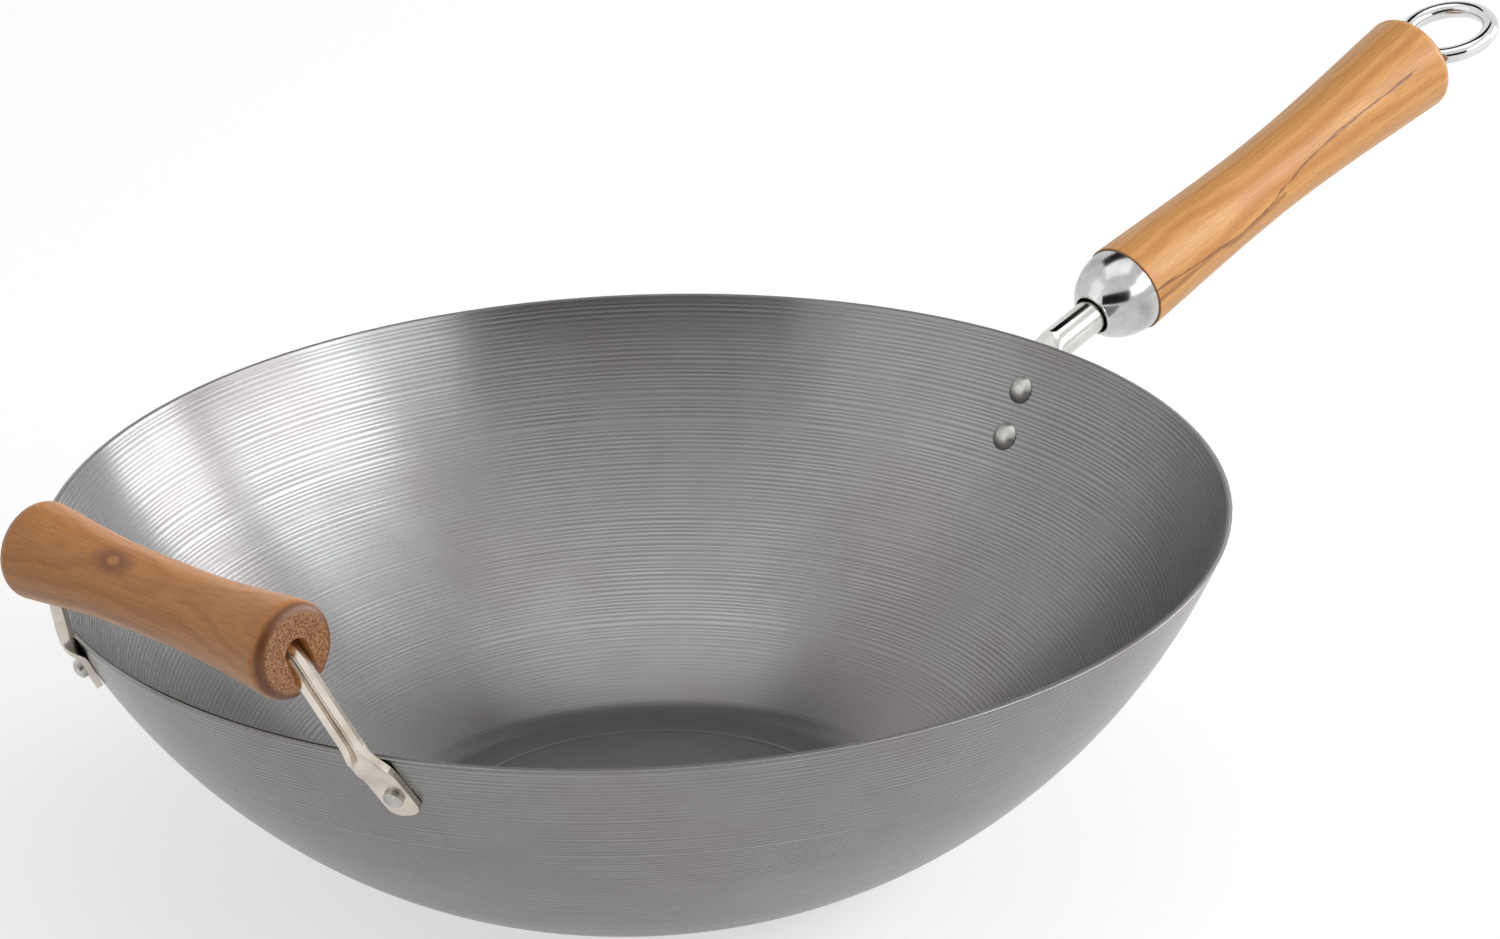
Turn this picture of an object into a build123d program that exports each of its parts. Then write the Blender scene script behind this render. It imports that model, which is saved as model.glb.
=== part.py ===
from build123d import *
import os
from math import acos, atan2, cos, degrees, hypot, radians, sin, sqrt, tan

# A flat-based steel wok with one long turned handle and one short helper handle.
# Millimetres and degrees. The origin is the centre of the flat base, on the surface
# that the wok stands on. +Z is up, +X runs out along the long handle, and the helper
# handle stands across the far side, on -X.

# Bowl: spun from one disc of steel sheet
rim_radius = 177.8
rim_height = 101.6
base_radius = 76.2
bowl_sheet = 1.5
base_bend_radius = 25.0
# Slopes of the wall against the straight line from the base's edge to the rim
wall_start_lag = 23.2
wall_joint_lag = 7.0
wall_end_lead = 21.4

# Long handle: its axis passes below the rim's edge and rises outwards to the wood
handle_tilt = 14.7
handle_drop_at_rim = 5.6
handle_run_to_wood = 42.3

# Long handle's bracket: a tube, flattened towards its lower side and bent onto the wall
tube_radius = 5.5
tube_wall = 1.4
tube_socket_depth = 12.0
tube_bore_depth = 34.0
flattening_start = 24.0
flattening_steps = 5
flattening_offset = 2.8
plate_width = 16.0
plate_thickness = 3.0
plate_corner_radius = 6.0
section_round_share = 0.49
plate_top_drop = 10.4
plate_bottom_drop = 37.0
tube_nut_length = 12.0

# Long handle's rivets: drops are heights below the rim
handle_rivet_drop = 14.6
handle_rivet_pitch = 13.4
handle_rivet_shank_radius = 2.4
handle_rivet_head_radius = 4.4
handle_rivet_head_height = 2.2
handle_rivet_head_rise = 0.3
handle_rivet_tail_radius = 4.2
handle_rivet_tail_height = 1.8
handle_rivet_tail_rise = 0.3

# Ferrule: a bell that caps the front of the wood, with a rounded lip at its mouth
ferrule_radius = 14.3
ferrule_bell_length = 18.5
ferrule_mouth_radius = 6.3
ferrule_wall = 1.3
ferrule_lip_radius = 0.45
bell_steps = 6

# Long grip: turned and bored wood, with a spigot that fills the ferrule's skirt
grip_length = 148.0
grip_joint_radius = 14.9
grip_waist_radius = 12.75
grip_end_radius = 16.55
grip_end_round = 3.6
grip_joint_round = 0.5
grip_spigot_length = 7.0
rod_bore_radius = 3.0
# Outline between joint, waist and end: shares of the length and of the swell
grip_waist_share = 0.44
grip_front_shares = ((0.0, 1.0), (0.2, 0.44))
grip_back_shares = ((0.69, 0.265), (0.86, 0.67), (1.0, 1.0))

# Tie rod and the ring welded to it
rod_radius = 2.5
ring_wire_radius = 2.8
ring_mean_radius = 14.5
ring_gap = 0.3

# Helper grip: a waisted wooden bar, its bore open towards the wok at both ends
helper_reach = 5.05
helper_lift = 35.05
helper_length = 112.2
helper_waist_radius = 11.5
helper_end_radius = 14.7
helper_end_round = 4.0
helper_bore_radius = 4.35
helper_notch_depth = 9.5
# Outline from the middle to an end: shares of the half length and of the swell
helper_grip_shares = ((0.43, 0.156), (0.64, 0.44), (0.86, 0.81), (1.0, 1.0))

# Helper bracket: one strip, folded to a channel and opened flat at both ends
strip_thickness = 2.0
channel_width = 6.2
channel_depth = 4.8
channel_turn = 40.0
channel_offset = 0.65
fold_inner_radius = 0.4
# Fold angle where the opened channel meets the flat tab
flat_fold = 0.5
arm_lean = 68.0
arm_splay = 16.5
arm_bend_radius = 6.0
arm_bend_start = 47.4
arm_length = 29.0
fold_steps = 8
tab_above_rivet = 6.5
tab_below_rivet = 8.0
tab_contact_drop = 9.0
tab_lean = 19.0
tab_corner_radius = 4.0

# Helper rivets: the angle round the rim from the handles' line, and the height below it
helper_rivet_angle = 22.6
helper_rivet_drop = 12.9
helper_rivet_shank_radius = 1.6
helper_rivet_head_radius = 2.95
helper_rivet_head_height = 2.5
helper_rivet_head_rise = 1.3
helper_rivet_tail_radius = 3.2
helper_rivet_tail_height = 1.4
helper_rivet_tail_rise = 0.2

# Clearances, and one overrun for cuts
seat_gap = 0.06
rivet_fit = 0.05
press_fit = 0.02
thread_fit = 0.05
wood_fit = 0.15
overrun = 5.0


def in_xz(x, z):
    return Vector(x, 0, z)


# Share of a change that starts and ends gently
def ease(share):
    return share * share * (3 - 2 * share)


# Flat shapes are drawn with x as the radius and y as the height, then stood up and turned
def turn(face):
    return revolve(Plane.XZ * face, Axis.Z)


def strip_face(x_low, x_high, y_low, y_high):
    centre = Pos((x_low + x_high) / 2, (y_low + y_high) / 2)
    return centre * Rectangle(x_high - x_low, y_high - y_low)


# The bowl's wall is two tangent arcs: each has a centre, a radius and two end slopes
def wall_arcs():
    chord = hypot(rim_radius - base_radius, rim_height)
    chord_slope = atan2(rim_height, rim_radius - base_radius)
    lag, mid, lead = -radians(wall_start_lag), -radians(wall_joint_lag), radians(wall_end_lead)
    lower_share = (cos(mid) - cos(lead)) / (cos(mid) - cos(lag))
    upper_radius = chord / ((sin(mid) - sin(lag)) * lower_share + sin(lead) - sin(mid))
    lower_radius = upper_radius * lower_share
    start, joint, end = (chord_slope + part for part in (lag, mid, lead))
    lower_centre = in_xz(base_radius, 0) - slope_vector(start) * lower_radius
    upper_centre = in_xz(rim_radius, rim_height) - slope_vector(end) * upper_radius
    return (lower_centre, lower_radius, start, joint), (upper_centre, upper_radius, joint, end)


# Unit vector out of the wall where its slope is this steep
def slope_vector(slope):
    return Vector(sin(slope), 0, -cos(slope))


lower_arc, upper_arc = wall_arcs()


def arc_point(arc, slope, outwards=0.0):
    return arc[0] + slope_vector(slope) * (arc[1] + outwards)


def arc_slope(arc, height, outwards=0.0):
    return acos((arc[0].Z - height) / (arc[1] + outwards))


def wall_edge(arc, start, end, outwards=0.0):
    slopes = (start, (start + end) / 2, end)
    return ThreePointArc(*(arc_point(arc, slope, outwards) for slope in slopes))


# Plane on the outer wall: its Z points straight out of the steel and its X up the slope
def wall_plane(drop, angle=0.0):
    slope = arc_slope(upper_arc, rim_height - drop)
    up_slope = (cos(slope), 0, sin(slope))
    plane = Plane(arc_point(upper_arc, slope), x_dir=up_slope, z_dir=slope_vector(slope))
    return Plane(Rot(Z=angle) * plane.location)


def build_bowl():
    _, _, start, joint = lower_arc
    inner_start = arc_slope(lower_arc, bowl_sheet, -bowl_sheet)
    inner_end = arc_slope(upper_arc, rim_height, -bowl_sheet)
    outer_corner = in_xz(base_radius, 0)
    inner_corner = arc_point(lower_arc, inner_start, -bowl_sheet)
    section = make_face([
        Line(in_xz(0, 0), outer_corner),
        wall_edge(lower_arc, start, joint),
        wall_edge(upper_arc, joint, upper_arc[3]),
        Line(in_xz(rim_radius, rim_height), arc_point(upper_arc, inner_end, -bowl_sheet)),
        wall_edge(upper_arc, inner_end, joint, -bowl_sheet),
        wall_edge(lower_arc, joint, inner_start, -bowl_sheet),
        Line(inner_corner, in_xz(0, bowl_sheet)),
        Line(in_xz(0, bowl_sheet), in_xz(0, 0)),
    ])
    for corner, radius in ((outer_corner, base_bend_radius), (inner_corner, base_bend_radius - bowl_sheet)):
        section = fillet(section.vertices().sort_by_distance(corner)[0], radius)
    bowl = revolve(section, Axis.Z)
    for place in handle_rivet_planes:
        bowl -= place * Cylinder(handle_rivet_shank_radius + rivet_fit, overrun * 2)
    for side in (1, -1):
        bowl -= tab_plane(side) * Cylinder(helper_rivet_shank_radius + rivet_fit, overrun * 2)
    return bowl


# A set rivet along Z: a domed head inside the bowl, a shank and a domed tail outside
def build_rivet(shank, head, tail, inside, outside):
    (head_radius, head_height, head_rise), (tail_radius, tail_height, tail_rise) = head, tail
    head_top, tail_top = (0, inside - head_height), (0, outside + tail_height)
    head_edge, tail_edge = (head_radius, inside - head_rise), (tail_radius, outside + tail_rise)
    section = make_face([
        TangentArc(head_top, head_edge, tangent=(1, 0)),
        Polyline(head_edge, (head_radius, inside), (shank, inside), (shank, outside)),
        Polyline((shank, outside), (tail_radius, outside), tail_edge),
        TangentArc(tail_top, tail_edge, tangent=(1, 0)),
        Line(tail_top, head_top),
    ])
    return turn(section)


def build_handle_rivets():
    head = (handle_rivet_head_radius, handle_rivet_head_height, handle_rivet_head_rise)
    tail = (handle_rivet_tail_radius, handle_rivet_tail_height, handle_rivet_tail_rise)
    inside, outside = -bowl_sheet - seat_gap, plate_thickness + seat_gap * 2
    rivet = build_rivet(handle_rivet_shank_radius, head, tail, inside, outside)
    return Compound(children=[place * rivet for place in handle_rivet_planes])


handle_rivet_planes = [wall_plane(handle_rivet_drop), wall_plane(handle_rivet_drop + handle_rivet_pitch)]

# Long handle's frame: Z along its axis from the face of the wood, X square to it and upwards
handle_along = Vector(cos(radians(handle_tilt)), 0, sin(radians(handle_tilt)))
handle_up = Vector(-handle_along.Z, 0, handle_along.X)
wood_face = in_xz(rim_radius, rim_height - handle_drop_at_rim) + handle_along * handle_run_to_wood
handle_plane = Plane(wood_face, x_dir=handle_up, z_dir=handle_along)


# Cross-section of the bracket, from the round tube at 0 to the flat plate at 1
def bracket_section(place, flatness):
    width = tube_radius * 2 + flatness * (plate_width - tube_radius * 2)
    height = tube_radius * 2 + flatness * (plate_thickness - tube_radius * 2)
    return place * RectangleRounded(width, height, height * section_round_share)


# Plane square to the bracket's line at a point, X across the handle
def square_plane(point, along):
    return Plane(point, x_dir=(0, 1, 0), z_dir=along)


def build_bracket():
    outwards = seat_gap + plate_thickness / 2
    top_slope = arc_slope(upper_arc, rim_height - plate_top_drop)
    bottom_slope = arc_slope(upper_arc, rim_height - plate_bottom_drop)
    plate_top = arc_point(upper_arc, top_slope, outwards)
    up_plate = in_xz(cos(top_slope), sin(top_slope))
    # The bend's tangents meet where the line of the plate crosses that of the flattened tube
    flat_line = wood_face - handle_up * flattening_offset
    to_corner = (flat_line - plate_top).dot(handle_up) / up_plate.dot(handle_up)
    turn_angle = top_slope - radians(handle_tilt)
    bend_radius = to_corner / tan(turn_angle / 2)
    bend_centre = plate_top + slope_vector(top_slope) * bend_radius
    bend_end = plate_top + (up_plate + handle_along) * to_corner
    flat_section = bracket_section(square_plane(plate_top, up_plate), 1)
    across = (0, 1, 0)
    plate = revolve(flat_section, Axis(upper_arc[0], across), degrees(top_slope - bottom_slope))
    bend = revolve(flat_section, Axis(bend_centre, across), degrees(turn_angle))
    round_end = wood_face - handle_along * flattening_start
    flat_run = (round_end - bend_end).dot(handle_along)
    sections = []
    for step in range(flattening_steps + 1):
        share = step / flattening_steps
        flatness = ease(share)
        point = round_end - handle_along * (flat_run * share) - handle_up * (flattening_offset * flatness)
        sections.append(bracket_section(square_plane(point, handle_along), flatness))
    tube_section = bracket_section(square_plane(round_end, handle_along), 0)
    tube = extrude(tube_section, flattening_start + tube_socket_depth)
    bracket = plate + bend + loft(sections) + tube
    bracket -= plate_trim(bottom_slope, outwards)
    for place in handle_rivet_planes:
        bracket -= place * Cylinder(handle_rivet_shank_radius + rivet_fit, overrun * 2)
    bore = Cylinder(tube_radius - tube_wall, tube_bore_depth, align=(Align.CENTER, Align.CENTER, Align.MAX))
    return bracket - handle_plane * Pos(Z=tube_socket_depth) * bore


# What is sheared off the plate's tip to round its two corners
def plate_trim(bottom_slope, outwards):
    tip = Plane(
        arc_point(upper_arc, bottom_slope, outwards),
        x_dir=(cos(bottom_slope), 0, sin(bottom_slope)),
        z_dir=slope_vector(bottom_slope),
    )
    blank = Pos(X=plate_corner_radius / 2) * Rectangle(plate_corner_radius + overrun, plate_width + overrun)
    rounded = Pos(X=plate_corner_radius * 2) * RectangleRounded(
        plate_corner_radius * 4, plate_width, plate_corner_radius
    )
    return tip * extrude(blank - rounded, plate_thickness, both=True)


def build_tube_nut():
    radius = tube_radius - tube_wall - press_fit
    nut = Cylinder(radius, tube_nut_length) - Cylinder(rod_radius + thread_fit, tube_nut_length)
    return handle_plane * Pos(Z=tube_socket_depth - tube_nut_length / 2) * nut


# Outline of a bell, a quarter of an ellipse, between two stations in front of the wood
def bell_curve(radius, length, front, back):
    stations = [front + (back - front) * step / bell_steps for step in range(bell_steps + 1)]
    return Spline(*[(radius * sqrt(1 - (station / length) ** 2), station) for station in stations])


def inner_bell():
    return ferrule_radius - ferrule_wall, ferrule_bell_length - ferrule_wall


def skirt_radius():
    radius, length = inner_bell()
    return radius * sqrt(1 - (grip_spigot_length / length) ** 2)


def build_ferrule():
    radius, length = inner_bell()
    lip_middle, lip_outer = (ferrule_mouth_radius + ferrule_lip_radius * turns for turns in (1, 2))
    front = -ferrule_bell_length * sqrt(1 - (lip_outer / ferrule_radius) ** 2)
    inner_front = -length * sqrt(1 - (lip_middle / radius) ** 2)
    mouth = (ferrule_mouth_radius, front)
    outer = bell_curve(ferrule_radius, ferrule_bell_length, front, 0)
    inner = bell_curve(radius, length, inner_front, -grip_spigot_length)
    return handle_plane * turn(make_face([
        outer,
        Polyline(outer @ 1, (skirt_radius(), 0), inner @ 1),
        inner,
        Line(inner @ 0, mouth),
        ThreePointArc(mouth, (lip_middle, front - ferrule_lip_radius), outer @ 0),
    ]))


def swell_points(shares, length, low_radius, high_radius):
    return [(low_radius + (high_radius - low_radius) * swell, length * share) for share, swell in shares]


def build_long_grip():
    front = swell_points(grip_front_shares, grip_length, grip_waist_radius, grip_joint_radius)
    waist = [(grip_waist_radius, grip_length * grip_waist_share)]
    back = swell_points(grip_back_shares, grip_length, grip_waist_radius, grip_end_radius)
    outline = front + waist + back
    section = make_face([
        Spline(*outline),
        Polyline(outline[-1], (0, grip_length), (0, 0), outline[0]),
    ])
    for corner, radius in ((outline[0], grip_joint_round), (outline[-1], grip_end_round)):
        section = fillet(section.vertices().sort_by_distance(corner)[0], radius)
    section += strip_face(0, skirt_radius() - press_fit, -grip_spigot_length, 0)
    section -= strip_face(0, rod_bore_radius, -grip_spigot_length, grip_length)
    section -= strip_face(0, tube_radius + wood_fit, -grip_spigot_length, tube_socket_depth + wood_fit)
    return handle_plane * turn(section)


ring_station = grip_length + ring_gap + ring_wire_radius + ring_mean_radius


def build_ring():
    return handle_plane * Pos(Z=ring_station) * Rot(Y=90) * Torus(ring_mean_radius, ring_wire_radius)


# The rod screws into the nut, and its other end is coped to the ring's wire
def build_tie_rod(ring):
    start = tube_socket_depth - tube_nut_length
    length = ring_station - ring_mean_radius - start
    rod = Cylinder(rod_radius, length, align=(Align.CENTER, Align.CENTER, Align.MIN))
    return handle_plane * Pos(Z=start) * rod - ring


# Helper handle's frame: X down along the arms, Y towards the wok, Z out along the grip
helper_axis = in_xz(-rim_radius - helper_reach, rim_height + helper_lift)
arm_down = in_xz(cos(radians(arm_lean)), -sin(radians(arm_lean)))
helper_plane = Plane(helper_axis, x_dir=arm_down, z_dir=(0, -1, 0))


def build_helper_grip():
    half = helper_length / 2
    rise = swell_points(helper_grip_shares, half, helper_waist_radius, helper_end_radius)
    outline = [(radius, -length) for radius, length in reversed(rise)] + [(helper_waist_radius, 0)] + rise
    section = make_face([
        Spline(*outline),
        Polyline(outline[-1], (0, half), (0, -half), outline[0]),
    ])
    for corner in (outline[0], outline[-1]):
        section = fillet(section.vertices().sort_by_distance(corner)[0], helper_end_round)
    section -= strip_face(0, helper_bore_radius, -half, half)
    grip = turn(section)
    inwards = (Align.MIN, Align.CENTER, Align.MAX)
    slot = Box(helper_end_radius, helper_bore_radius * 2, helper_notch_depth, align=inwards)
    for side in (1, -1):
        grip -= Rot(X=0 if side > 0 else 180) * Pos(Z=half) * slot
    return helper_plane * grip


# Along the middle of the strip: half the web, the length that bends at a fold, and a flange
fold_length = radians(90) * (fold_inner_radius + strip_thickness / 2)
half_web = channel_width / 2 - fold_inner_radius - strip_thickness
flange_length = channel_depth - fold_inner_radius - strip_thickness
half_strip = half_web + fold_length + flange_length


# Cross-section of the strip: a web, and on each side a flange folded up by this angle
def strip_section(point, along, opening, fold):
    bend, half = fold_length / fold, strip_thickness / 2
    run, rise = cos(fold), sin(fold)

    def spot(turned, outwards, beyond=0.0):
        x = half_web + (bend + outwards) * sin(turned) + beyond * run
        return x, bend - (bend + outwards) * cos(turned) + beyond * rise

    outer_fold = ThreePointArc(*(spot(fold * share, half) for share in (0, 1 / 2, 1)))
    inner_fold = ThreePointArc(*(spot(fold * share, -half) for share in (1, 1 / 2, 0)))
    corners = [spot(fold, face, flange_length) for face in (half, -half)]
    side = [outer_fold, Polyline(outer_fold @ 1, *corners, inner_fold @ 0), inner_fold]
    webs = [Line((-half_web, y), (half_web, y)) for y in (-half, half)]
    opening = (opening - along * opening.dot(along)).normalized()
    place = Plane(point, x_dir=opening.cross(along), z_dir=along)
    return place * make_face([*side, *(mirror(edge, Plane.YZ) for edge in side), *webs])


# A flat tab lies against the round wall at one height
tab_slope = arc_slope(upper_arc, rim_height - tab_contact_drop)


# Plane of a tab before it is turned to its place: origin at the rivet, X down the slope
def tab_seat():
    down_slope = in_xz(-cos(tab_slope), -sin(tab_slope))
    to_rivet = down_slope * ((helper_rivet_drop - tab_contact_drop) / sin(tab_slope))
    contact = arc_point(upper_arc, tab_slope, seat_gap)
    return Plane(contact + to_rivet, x_dir=down_slope, z_dir=slope_vector(tab_slope))


# Plane of the tab on one side, on its face next to the wall, with X down the strip
def tab_plane(side):
    seat = tab_seat()
    lean = radians(tab_lean) * side
    down_tab = seat.x_dir * cos(lean) + Vector(0, 1, 0) * sin(lean)
    plane = Plane(seat.origin, x_dir=down_tab, z_dir=seat.z_dir)
    return Plane(Rot(Z=180 + side * helper_rivet_angle) * plane.location)


# The channel's open side faces away from the wok, turned towards the outside of the bend
def channel_opening(outside):
    turned = radians(channel_turn)
    return outside * sin(turned) - helper_plane.y_dir * cos(turned)


# Cross-section of the channel with the middle of its box at this point
def channel_section(centre, along, outside):
    opening = channel_opening(outside)
    web_middle = centre - opening * ((channel_depth - strip_thickness) / 2)
    return strip_section(web_middle, along, opening, radians(90))


def build_half_bracket():
    splay = radians(arm_splay)
    outwards = helper_plane.z_dir
    bend_start = helper_axis + outwards * arm_bend_start + helper_plane.y_dir * channel_offset
    bend_centre = bend_start + arm_down * arm_bend_radius
    bore_section = channel_section(bend_start, outwards, -arm_down)
    bore_run = extrude(bore_section, -arm_bend_start)
    bend = revolve(bore_section, Axis(bend_centre, helper_plane.y_dir), 90 - arm_splay)
    arm_along = arm_down * cos(splay) + outwards * sin(splay)
    outside = outwards * cos(splay) - arm_down * sin(splay)
    arm_start = bend_centre + outside * arm_bend_radius
    arm = extrude(channel_section(arm_start, arm_along, outside), arm_length)
    arm_end = arm_start + arm_along * arm_length
    opened = loft(opening_sections(arm_end, arm_along, channel_opening(outside), tab_plane(1)), ruled=True)
    return bore_run + bend + arm + opened + build_tab(tab_plane(1))


# The channel opens as it runs down to the tab, on a smooth curve from one to the other
def opening_sections(arm_end, start_along, start_opening, tab):
    start = arm_end - start_opening * ((channel_depth - strip_thickness) / 2)
    end = tab.origin - tab.x_dir * tab_above_rivet + tab.z_dir * (strip_thickness / 2)
    end_along, end_opening = tab.x_dir, tab.z_dir
    reach = (end - start).length
    sections = []
    for step in range(fold_steps + 1):
        share = step / fold_steps
        turned = ease(share)
        bow = (start_along * (1 - share) - end_along * share) * (reach * share * (1 - share))
        point = start + (end - start) * turned + bow
        along = (start_along * (1 - turned) + end_along * turned).normalized()
        opening = start_opening * (1 - turned) + end_opening * turned
        sections.append(strip_section(point, along, opening, radians(90 + (flat_fold - 90) * turned)))
    return sections


def build_tab(place):
    blank = strip_face(-tab_above_rivet, tab_below_rivet, -half_strip, half_strip)
    tip = blank.vertices().group_by(Axis.X)[-1]
    blank = fillet(tip, tab_corner_radius) - Circle(helper_rivet_shank_radius + rivet_fit)
    return place * extrude(blank, strip_thickness)


def build_helper_bracket():
    half = build_half_bracket()
    return half + mirror(half, Plane.XZ)


def build_helper_rivets():
    head = (helper_rivet_tail_radius, helper_rivet_tail_height, helper_rivet_tail_rise)
    tail = (helper_rivet_head_radius, helper_rivet_head_height, helper_rivet_head_rise)
    # Behind the tab the wall curves away, and the inner head has to clear its slope
    seat = tab_seat()
    to_seat = seat.origin - upper_arc[0]
    out = to_seat.dot(seat.z_dir)
    stand_off = out - sqrt(upper_arc[1] ** 2 - to_seat.dot(to_seat) + out * out)
    wall_slope = arc_slope(upper_arc, rim_height - helper_rivet_drop)
    tilt_gap = helper_rivet_tail_radius * sin(tab_slope - wall_slope)
    inside = -stand_off - bowl_sheet - tilt_gap - seat_gap
    rivet = build_rivet(helper_rivet_shank_radius, head, tail, inside, strip_thickness + seat_gap)
    return Compound(children=[tab_plane(side) * rivet for side in (1, -1)])


def main():
    os.makedirs("parts", exist_ok=True)
    ring = build_ring()
    parts = {
        "wok_bowl": build_bowl(),
        "long_handle_bracket": build_bracket(),
        "long_handle_rivets": build_handle_rivets(),
        "tube_nut": build_tube_nut(),
        "ferrule": build_ferrule(),
        "long_grip": build_long_grip(),
        "tie_rod": build_tie_rod(ring),
        "hanging_ring": ring,
        "helper_bracket": build_helper_bracket(),
        "helper_grip": build_helper_grip(),
        "helper_rivets": build_helper_rivets(),
    }
    for name, shape in parts.items():
        export_step(shape, f"parts/{name}.step")


main()
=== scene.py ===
import logging
import math
from dataclasses import dataclass, field
from enum import Enum
from typing import Optional, Union

import bmesh
import bpy
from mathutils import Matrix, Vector


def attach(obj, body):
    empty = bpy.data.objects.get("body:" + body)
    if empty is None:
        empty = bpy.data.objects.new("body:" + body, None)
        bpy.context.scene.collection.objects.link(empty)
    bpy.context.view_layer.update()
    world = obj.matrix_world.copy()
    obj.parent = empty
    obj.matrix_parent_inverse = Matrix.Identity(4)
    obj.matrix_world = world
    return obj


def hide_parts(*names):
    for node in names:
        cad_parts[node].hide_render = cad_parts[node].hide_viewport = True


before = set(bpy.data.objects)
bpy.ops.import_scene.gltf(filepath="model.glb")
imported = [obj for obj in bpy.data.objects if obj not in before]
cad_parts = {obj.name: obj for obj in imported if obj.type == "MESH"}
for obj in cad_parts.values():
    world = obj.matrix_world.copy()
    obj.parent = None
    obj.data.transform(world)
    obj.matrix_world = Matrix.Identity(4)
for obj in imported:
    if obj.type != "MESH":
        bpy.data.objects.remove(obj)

LOG = logging.getLogger("wok")
MM = 0.001
NEAR_ZERO = 1e-6
WHITE = "#ffffff"

# Sockets of a Mix node that mixes colours: its share, its two colours and its result.
SHARE, COLOUR_A, COLOUR_B, MIXED = 0, 6, 7, 2

# Lamps and cards are turned to a point over the bowl's floor, in metres.
AIM = (0.0, 0.0, 0.06)

Setting = Union[float, bool, str, tuple]
Link = Union[bpy.types.NodeSocket, float, tuple]
Inputs = dict[Union[str, int], Link]

# A band is the two ends of a range, a point is two lengths in a plane, a place is X, Y and Z.
Band = tuple[float, float]
Point = tuple[float, float]
Place = tuple[float, float, float]


class Detail(Enum):
    """How much fine structure a noise has, as Blender's Detail counts it."""

    BROAD = 1.0
    SOFT = 2.0
    EVEN = 3.0
    BUSY = 4.0
    FINE = 5.0


class Slot(Enum):
    """The record's material slots for the new pieces. No piece here takes its finish from them."""

    BOWL = "spun_steel"
    BRACKET = "plated_bracket"


def linear(hex_colour: str) -> tuple[float, float, float, float]:
    """Turns an sRGB hex colour into linear light.

    Args:
        hex_colour: Six hex digits, with or without a leading hash.

    Returns:
        Red, green, blue and an alpha of 1.
    """
    digits = hex_colour.lstrip("#")
    parts = [int(digits[i : i + 2], 16) / 255 for i in (0, 2, 4)]
    light = [p / 12.92 if p <= 0.04045 else ((p + 0.055) / 1.055) ** 2.4 for p in parts]
    return (light[0], light[1], light[2], 1.0)


def fill(tree: bpy.types.NodeTree, node: bpy.types.Node, inputs: Inputs) -> None:
    """Sets a node's sockets, or links them.

    Args:
        tree: The node tree that holds the node.
        node: The node whose sockets are filled.
        inputs: Values for its sockets, or the output sockets that they are linked to.
    """
    for name, value in inputs.items():
        if isinstance(value, bpy.types.NodeSocket):
            tree.links.new(value, node.inputs[name])
        else:
            node.inputs[name].default_value = value


def add_node(
    tree: bpy.types.NodeTree,
    kind: str,
    settings: Optional[dict[str, Setting]] = None,
    inputs: Optional[Inputs] = None,
) -> bpy.types.Node:
    """Adds one node with its settings and links.

    Args:
        tree: The node tree it goes into.
        kind: Blender's name for the node.
        settings: Properties of the node, by name.
        inputs: Values for its sockets, or the output sockets that they are linked to.

    Returns:
        The new node.
    """
    node = tree.nodes.new(kind)
    for name, value in (settings or {}).items():
        setattr(node, name, value)
    fill(tree, node, inputs or {})
    return node


def seen_ray(tree: bpy.types.NodeTree) -> bpy.types.NodeSocket:
    """Says whether a ray comes from the camera, a mirror or a lens.

    Args:
        tree: The node tree to add to.

    Returns:
        An output that is 1 for such a ray and 0 otherwise.
    """
    path = add_node(tree, "ShaderNodeLightPath").outputs
    either = add_node(
        tree,
        "ShaderNodeMath",
        {"operation": "MAXIMUM"},
        {0: path["Is Camera Ray"], 1: path["Is Glossy Ray"]},
    )
    return add_node(
        tree,
        "ShaderNodeMath",
        {"operation": "MAXIMUM"},
        {0: either.outputs[0], 1: path["Is Transmission Ray"]},
    ).outputs[0]


def smooth(share: float) -> float:
    """Eases a share from 0 to 1 with level ends."""
    share = min(max(share, 0.0), 1.0)
    return share * share * (3 - 2 * share)


def finish_mesh(name: str, mesh: bmesh.types.BMesh) -> bpy.types.Object:
    """Turns a bmesh into a smooth-shaded object in the scene.

    Args:
        name: Name of the piece.
        mesh: What it is made of, which is freed.

    Returns:
        The new object.
    """
    data = bpy.data.meshes.new(name)
    mesh.to_mesh(data)
    mesh.free()
    data.polygons.foreach_set("use_smooth", [True] * len(data.polygons))
    piece = bpy.data.objects.new(name, data)
    bpy.context.scene.collection.objects.link(piece)
    return piece


def turn_to(stand: bpy.types.Object, place: Place, aim: Place) -> None:
    """Stands a lamp or a card at a place, turned to a point."""
    stand.location = place
    stand.rotation_euler = (Vector(aim) - Vector(place)).to_track_quat("-Z", "Y").to_euler()


@dataclass(frozen=True)
class Finish:
    """A finish: what the surface is made of and how it was worked.

    Each kind of finish has its own paint method, which links the nodes.
    """

    name: str

    def paint(self, tree: bpy.types.NodeTree, shader: bpy.types.Node) -> None:
        """Links this finish's nodes to the shader.

        Args:
            tree: The material's node tree.
            shader: The Principled shader of that tree.
        """
        raise NotImplementedError

    def material(self) -> bpy.types.Material:
        """Makes the material, or finds it where it was made before.

        Returns:
            The material that carries this finish.
        """
        made = bpy.data.materials.get(self.name)
        if made:
            return made
        made = bpy.data.materials.new(self.name)
        made.use_nodes = True
        tree = made.node_tree
        tree.nodes.clear()
        shader = add_node(tree, "ShaderNodeBsdfPrincipled")
        add_node(tree, "ShaderNodeOutputMaterial", inputs={"Surface": shader.outputs[0]})
        self.paint(tree, shader)
        return made

    def dress(self, piece: bpy.types.Object) -> bpy.types.Object:
        """Gives a piece this finish alone.

        Args:
            piece: A new mesh or a node of the frame.

        Returns:
            The same piece.
        """
        piece.data.materials.clear()
        piece.data.materials.append(self.material())
        return piece


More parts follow.
